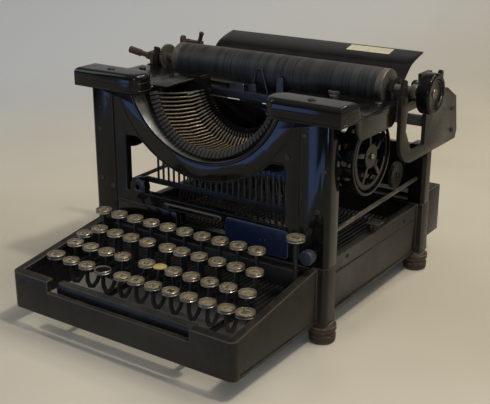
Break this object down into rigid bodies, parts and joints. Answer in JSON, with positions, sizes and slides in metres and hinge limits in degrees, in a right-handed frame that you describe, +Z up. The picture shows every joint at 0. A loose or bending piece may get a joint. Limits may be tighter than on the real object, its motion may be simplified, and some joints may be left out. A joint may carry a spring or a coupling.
{
  "type": "typewriter",
  "caption": "Desktop front-strike typewriter with four rows of round keys, an open type basket under an arched frame, a sliding platen carriage, side ribbon spools and a curved paper table.",
  "frame": {"origin": "on the table surface, below the middle of the bounding box", "axes": "+X to the right of a person typing, +Y away from them, +Z up"},
  "size_m": [0.3421, 0.383, 0.2286],
  "materials": {
    "black_paint": "worn black enamel, semi-gloss with rubbed grey edges",
    "black_castings": "old black paint on iron, matt and dusty",
    "rusty_iron": "rusty brown iron",
    "steel": "dull steel with brown tarnish",
    "nickel": "old nickel plate, slightly tarnished",
    "brass": "dull brass",
    "key_top": "cream disc in a nickel ring",
    "black_rubber": "hard black rubber, satin",
    "knob_black": "hard black rubber or wood, satin",
    "blue_paint": "blue-black enamel",
    "space_bar_wood": "black stained wood, worn"
  },
  "bodies": {
    "frame": {"base_frame": "black_castings", "feet": "rusty_iron", "front_frame": "black_paint", "top_cover_left": "black_paint", "top_cover_right": "black_paint", "rear_frame": "black_castings", "rear_housing": "black_castings", "carriage_bridge": "black_castings", "type_segment": "steel", "type_rest": "steel", "typebars": "steel", "basket_arms": "black_castings", "pull_links": "steel", "lever_comb": "blue_paint", "pivot_rods": "steel", "card_holder": "nickel", "link_guide": "nickel", "spool_cup_left": "steel", "spool_cup_right": "steel", "tie_rods": "nickel", "bell": "nickel"},
    "carriage": {"carriage_end_left": "black_paint", "carriage_end_right": "black_paint", "carriage_rods": "nickel", "carriage_bar": "steel", "escapement_rack": "steel"},
    "cradle": {"platen_cradle": "steel", "paper_table": "black_paint", "feed_rollers": "black_rubber"},
    "platen": {"platen_roller": "black_rubber", "platen_shaft": "nickel", "platen_knob": "knob_black", "ratchet_wheel": "steel"},
    "line_lever": {"line_space_lever": "brass"},
    "paper_lever": {"paper_release_lever": "nickel"},
    "release_left": {"carriage_release_left": "nickel"},
    "release_right": {"carriage_release_right": "nickel"},
    "print_key": {"print_key_lever": "steel", "print_key": "key_top"},
    "typebar": {"print_typebar": "steel"},
    "link": {"print_link": "steel"},
    "vibrator": {"ribbon_vibrator": "nickel"},
    "row_a": {"levers_row_a": "steel", "keys_row_a": "key_top"},
    "row_b": {"levers_row_b": "steel", "keys_row_b": "key_top"},
    "row_c": {"levers_row_c": "steel", "keys_row_c": "key_top"},
    "row_d": {"levers_row_d": "steel", "keys_row_d": "key_top"},
    "space": {"space_bar": "space_bar_wood"},
    "shift_left": {"shift_key_left": "key_top"},
    "shift_right": {"shift_key_right": "key_top"},
    "tall": {"tall_key": "key_top"},
    "push": {"push_knob": "nickel"},
    "spool_left": {"ribbon_spool_left": "nickel"},
    "spool_right": {"ribbon_spool_right": "nickel"},
    "drum": {"mainspring_drum": "brass"},
    "escapement": {"escapement_wheel": "brass"},
    "gear": {"ribbon_gear": "steel"}
  },
  "joints": [
    {"name": "carriage_travel", "type": "slide", "parent": "frame", "child": "carriage", "axis": [1, 0, 0], "range_m": [-0.104, 0.086]},
    {"name": "platen_shift", "type": "slide", "parent": "carriage", "child": "cradle", "axis": [0, 0, 1], "range_m": [0, 0.006], "stiffness_N_per_m": 200},
    {"name": "platen_turn", "type": "hinge", "parent": "cradle", "child": "platen", "pos_m": [0, 0.0395, 0.207], "axis": [1, 0, 0], "continuous": true},
    {"name": "print_key_press", "type": "hinge", "parent": "frame", "child": "print_key", "pos_m": [0, 0.1195, 0.046], "axis": [1, 0, 0], "range_deg": [0, 3.2], "stiffness_Nm_per_rad": 0.6, "springref_deg": -17.19},
    {"name": "typebar_swing", "type": "hinge", "parent": "frame", "child": "typebar", "pos_m": [0.0048, -0.00773, 0.15467], "axis": [-0.996, -0.0185, -0.087], "range_deg": [0, 125.35]},
    {"name": "link_pull", "type": "slide", "parent": "frame", "child": "link", "axis": [0, 0, -1], "range_m": [0, 0.0059]},
    {"name": "vibrator_lift", "type": "slide", "parent": "frame", "child": "vibrator", "axis": [0, 0, 1], "range_m": [0, 0.00805]},
    {"name": "keys_row_a_press", "type": "hinge", "parent": "frame", "child": "row_a", "pos_m": [0, 0.1195, 0.046], "axis": [1, 0, 0], "range_deg": [0, 2.9], "stiffness_Nm_per_rad": 2, "springref_deg": -17.19},
    {"name": "keys_row_b_press", "type": "hinge", "parent": "frame", "child": "row_b", "pos_m": [0, 0.1195, 0.046], "axis": [1, 0, 0], "range_deg": [0, 3], "stiffness_Nm_per_rad": 2, "springref_deg": -17.19},
    {"name": "keys_row_c_press", "type": "hinge", "parent": "frame", "child": "row_c", "pos_m": [0, 0.1195, 0.046], "axis": [1, 0, 0], "range_deg": [0, 3.1], "stiffness_Nm_per_rad": 2, "springref_deg": -17.19},
    {"name": "keys_row_d_press", "type": "hinge", "parent": "frame", "child": "row_d", "pos_m": [0, 0.1195, 0.046], "axis": [1, 0, 0], "range_deg": [0, 3.2], "stiffness_Nm_per_rad": 2, "springref_deg": -17.19},
    {"name": "space_bar_press", "type": "hinge", "parent": "frame", "child": "space", "pos_m": [0, -0.0905, 0.024], "axis": [1, 0, 0], "range_deg": [0, 5], "stiffness_Nm_per_rad": 2, "springref_deg": -17.19},
    {"name": "shift_left_press", "type": "hinge", "parent": "frame", "child": "shift_left", "pos_m": [0, 0.1195, 0.046], "axis": [1, 0, 0], "range_deg": [0, 2.86], "stiffness_Nm_per_rad": 0.6, "springref_deg": -17.19},
    {"name": "shift_right_press", "type": "hinge", "parent": "frame", "child": "shift_right", "pos_m": [0, 0.1195, 0.046], "axis": [1, 0, 0], "range_deg": [0, 2.86], "stiffness_Nm_per_rad": 0.6, "springref_deg": -17.19},
    {"name": "tall_key_press", "type": "hinge", "parent": "frame", "child": "tall", "pos_m": [0.1115, -0.0105, 0.0485], "axis": [1, 0, 0], "range_deg": [0, 5], "stiffness_Nm_per_rad": 0.3, "springref_deg": -17.19},
    {"name": "push_knob_press", "type": "slide", "parent": "frame", "child": "push", "axis": [0, 1, 0], "range_m": [0, 0.005], "stiffness_N_per_m": 200, "springref_m": -0.005},
    {"name": "line_space_swing", "type": "hinge", "parent": "carriage", "child": "line_lever", "pos_m": [-0.141, 0.0395, 0.205], "axis": [0, 0, 1], "range_deg": [0, 35], "stiffness_Nm_per_rad": 0.05, "springref_deg": -11.46},
    {"name": "paper_release_swing", "type": "hinge", "parent": "cradle", "child": "paper_lever", "pos_m": [-0.116, 0.0535, 0.204], "axis": [1, 0, 0], "range_deg": [-25, 0]},
    {"name": "carriage_release_left_swing", "type": "hinge", "parent": "carriage", "child": "release_left", "pos_m": [-0.13, 0.0795, 0.216], "axis": [0, 0, 1], "range_deg": [-20, 20], "stiffness_Nm_per_rad": 0.02},
    {"name": "carriage_release_right_swing", "type": "hinge", "parent": "carriage", "child": "release_right", "pos_m": [0.149, 0.0965, 0.188], "axis": [1, 0, 0], "range_deg": [-20, 20], "stiffness_Nm_per_rad": 0.05},
    {"name": "spool_right_turn", "type": "hinge", "parent": "frame", "child": "spool_right", "pos_m": [0.131, -0.013, 0.159], "axis": [1, 0, 0], "continuous": true},
    {"name": "spool_left_turn", "type": "hinge", "parent": "frame", "child": "spool_left", "pos_m": [-0.131, -0.013, 0.159], "axis": [1, 0, 0], "continuous": true},
    {"name": "ribbon_gear_turn", "type": "hinge", "parent": "frame", "child": "gear", "pos_m": [0.108, 0.0995, 0.107], "axis": [1, 0, 0], "continuous": true},
    {"name": "drum_turn", "type": "hinge", "parent": "frame", "child": "drum", "pos_m": [-0.066, 0.1195, 0.108], "axis": [0, 1, 0], "range_deg": [-248.5, 205.5]},
    {"name": "escapement_turn", "type": "hinge", "parent": "frame", "child": "escapement", "pos_m": [0.011, 0.0795, 0.1607], "axis": [0, 1, 0], "range_deg": [-993.5, 821.5]}
  ],
  "couplings": [
    {"joint": "typebar_swing", "follows": "print_key_press", "ratio": 39.152},
    {"joint": "link_pull", "follows": "print_key_press", "m_per_rad": 0.10385},
    {"joint": "vibrator_lift", "follows": "print_key_press", "m_per_rad": 0.14324},
    {"joint": "shift_left_press", "follows": "platen_shift", "rad_per_m": 8.3111},
    {"joint": "shift_right_press", "follows": "platen_shift", "rad_per_m": 8.3111},
    {"joint": "spool_left_turn", "follows": "spool_right_turn", "ratio": 1},
    {"joint": "ribbon_gear_turn", "follows": "spool_right_turn", "ratio": -1},
    {"joint": "drum_turn", "follows": "carriage_travel", "rad_per_m": 41.667},
    {"joint": "escapement_turn", "follows": "carriage_travel", "rad_per_m": 166.67}
  ]
}
